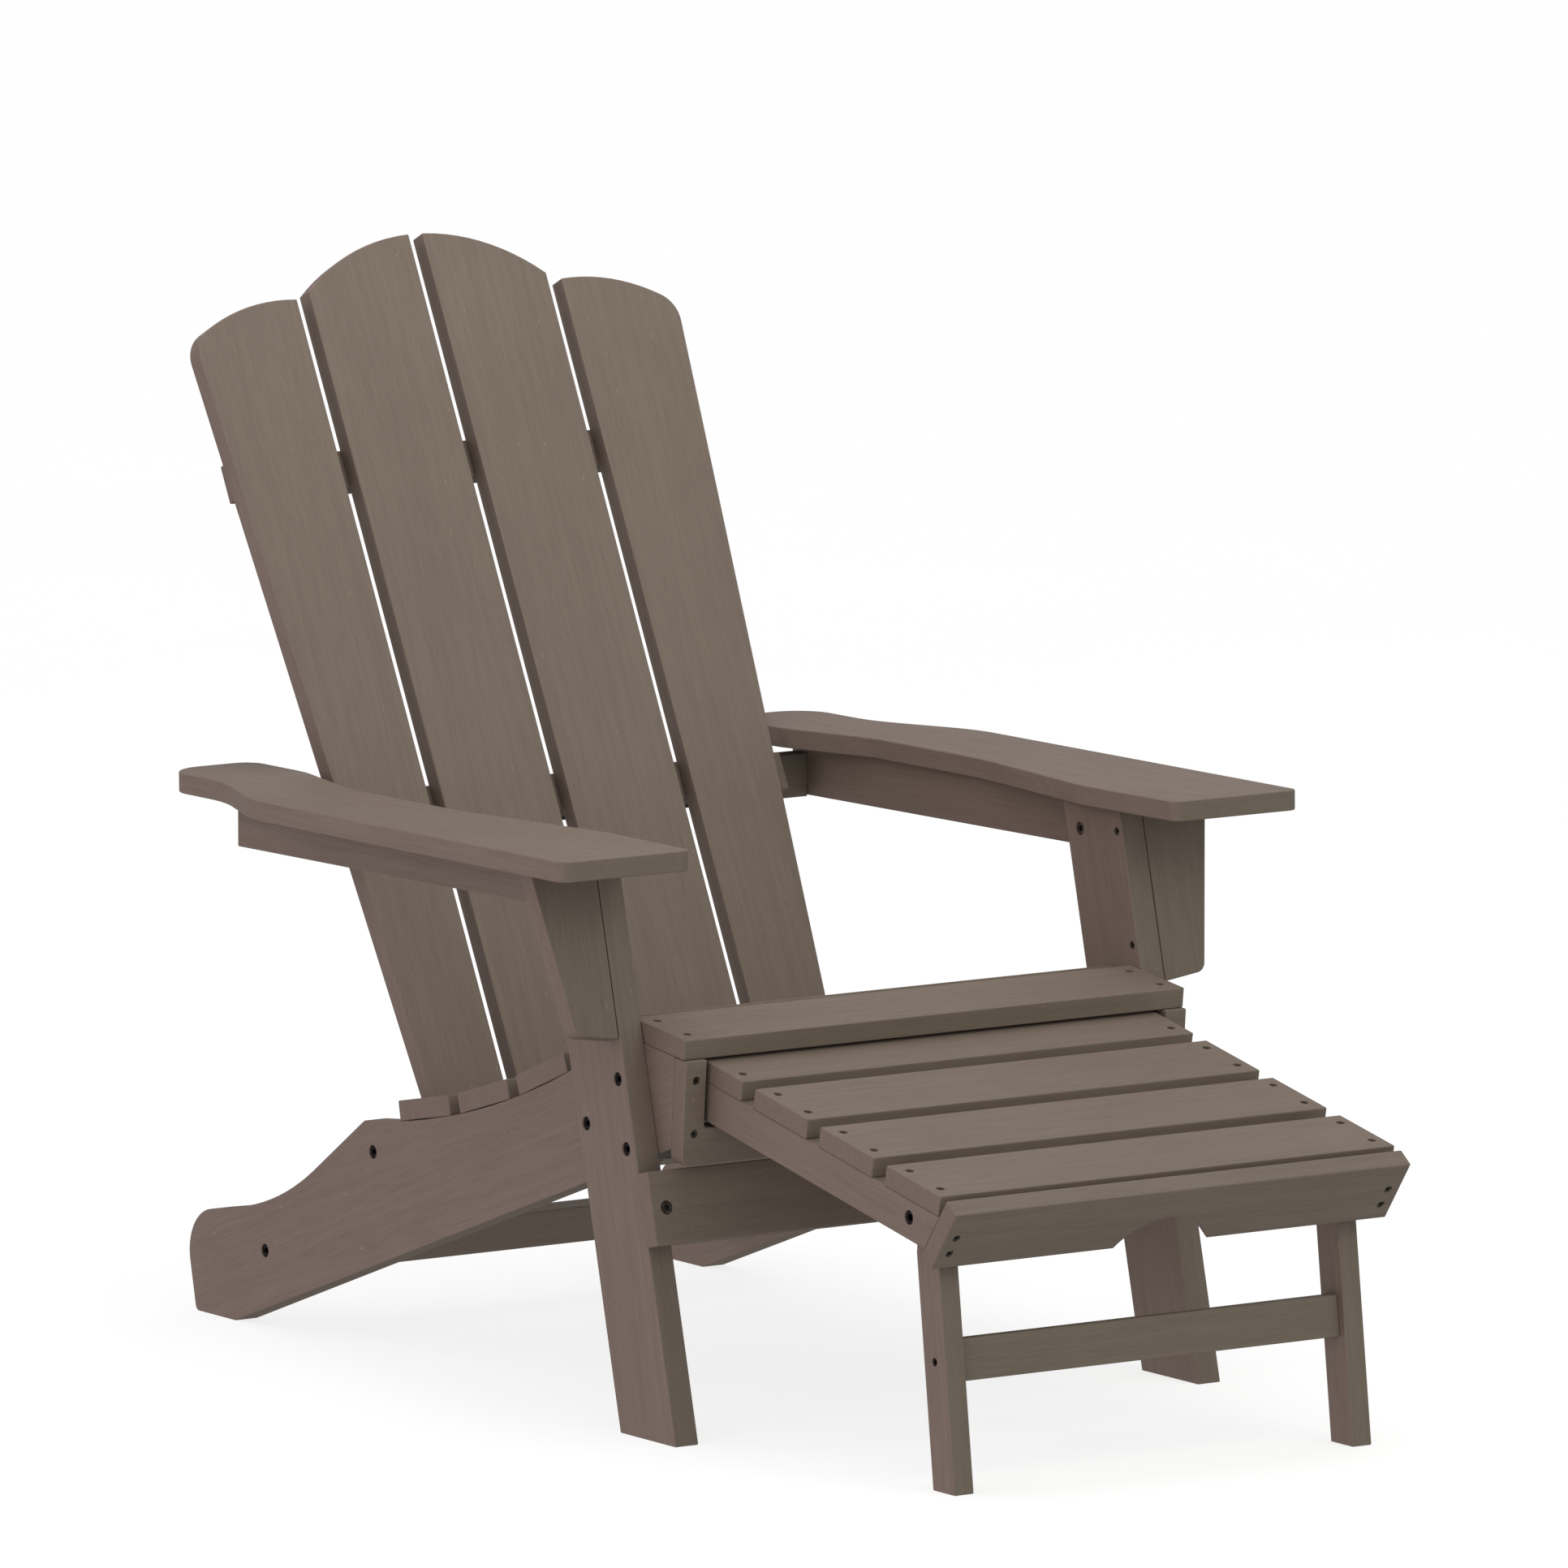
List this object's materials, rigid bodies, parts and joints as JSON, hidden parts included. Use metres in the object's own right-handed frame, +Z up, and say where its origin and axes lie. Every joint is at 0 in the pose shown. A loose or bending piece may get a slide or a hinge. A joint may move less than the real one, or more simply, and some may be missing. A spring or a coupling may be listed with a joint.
{
  "type": "adirondack chair",
  "caption": "Slatted wooden garden chair with a reclined fan back, broad arms and a pull-out footrest on folding legs.",
  "frame": {"origin": "on the floor, at the middle of the chair's footprint box with the footrest pulled out", "axes": "+Z up, +Y towards the back of the chair, +X towards the right arm as seen from in front"},
  "size_m": [0.7708, 1.2158, 0.9462],
  "materials": {
    "stained_wood": "matt stained timber with fine straight grain",
    "black_fasteners": "black coated steel",
    "zinc_nuts": "zinc plated steel"
  },
  "bodies": {
    "chair": {"apron_screws": "black_fasteners", "arm_bracket_screws": "black_fasteners", "arm_cross_rail": "stained_wood", "arm_rail_bolts": "black_fasteners", "arm_screws": "black_fasteners", "back_screws": "black_fasteners", "back_slat_1": "stained_wood", "back_slat_2": "stained_wood", "back_slat_3": "stained_wood", "back_slat_4": "stained_wood", "barrel_nuts": "zinc_nuts", "cross_rail_bolts": "black_fasteners", "cross_rail_dowels": "stained_wood", "front_apron": "stained_wood", "front_stretcher": "stained_wood", "front_stretcher_bolts": "black_fasteners", "left_arm": "stained_wood", "left_arm_bracket": "stained_wood", "left_arm_rail": "stained_wood", "left_footrest_runner": "stained_wood", "left_front_leg": "stained_wood", "left_stringer": "stained_wood", "leg_bolts": "black_fasteners", "leg_insert_nuts": "zinc_nuts", "lower_back_batten": "stained_wood", "lower_back_cross_rail": "stained_wood", "middle_back_batten": "stained_wood", "rear_stretcher": "stained_wood", "right_arm": "stained_wood", "right_arm_bracket": "stained_wood", "right_arm_rail": "stained_wood", "right_footrest_runner": "stained_wood", "right_front_leg": "stained_wood", "right_stringer": "stained_wood", "runner_screws": "black_fasteners", "seat_front_slat": "stained_wood", "seat_slat_1": "stained_wood", "seat_slat_2": "stained_wood", "seat_slat_3": "stained_wood", "seat_slat_4": "stained_wood", "seat_slat_screws": "black_fasteners", "upper_back_batten": "stained_wood"},
    "footrest": {"left_footrest_rail": "stained_wood", "right_footrest_rail": "stained_wood", "footrest_slat_1": "stained_wood", "footrest_slat_2": "stained_wood", "footrest_slat_3": "stained_wood", "footrest_slat_4": "stained_wood", "footrest_front_board": "stained_wood", "footrest_rear_cross": "stained_wood", "footrest_slat_screws": "black_fasteners", "footrest_front_screws": "black_fasteners", "footrest_cross_screws": "black_fasteners", "footrest_pivot_bolts": "black_fasteners", "footrest_pivot_nuts": "zinc_nuts"},
    "footrest_legs": {"left_footrest_leg": "stained_wood", "right_footrest_leg": "stained_wood", "footrest_leg_stretcher": "stained_wood", "footrest_leg_screws": "black_fasteners"}
  },
  "joints": [
    {"name": "footrest_lift", "type": "hinge", "parent": "chair", "child": "footrest", "pos_m": [0, -0.23162, 0.26909], "axis": [-1, 0, 0], "range_deg": [0, 21]},
    {"name": "leg_fold", "type": "hinge", "parent": "footrest", "child": "footrest_legs", "pos_m": [0, -0.53778, 0.23492], "axis": [1, 0, 0], "range_deg": [0, 90]}
  ]
}
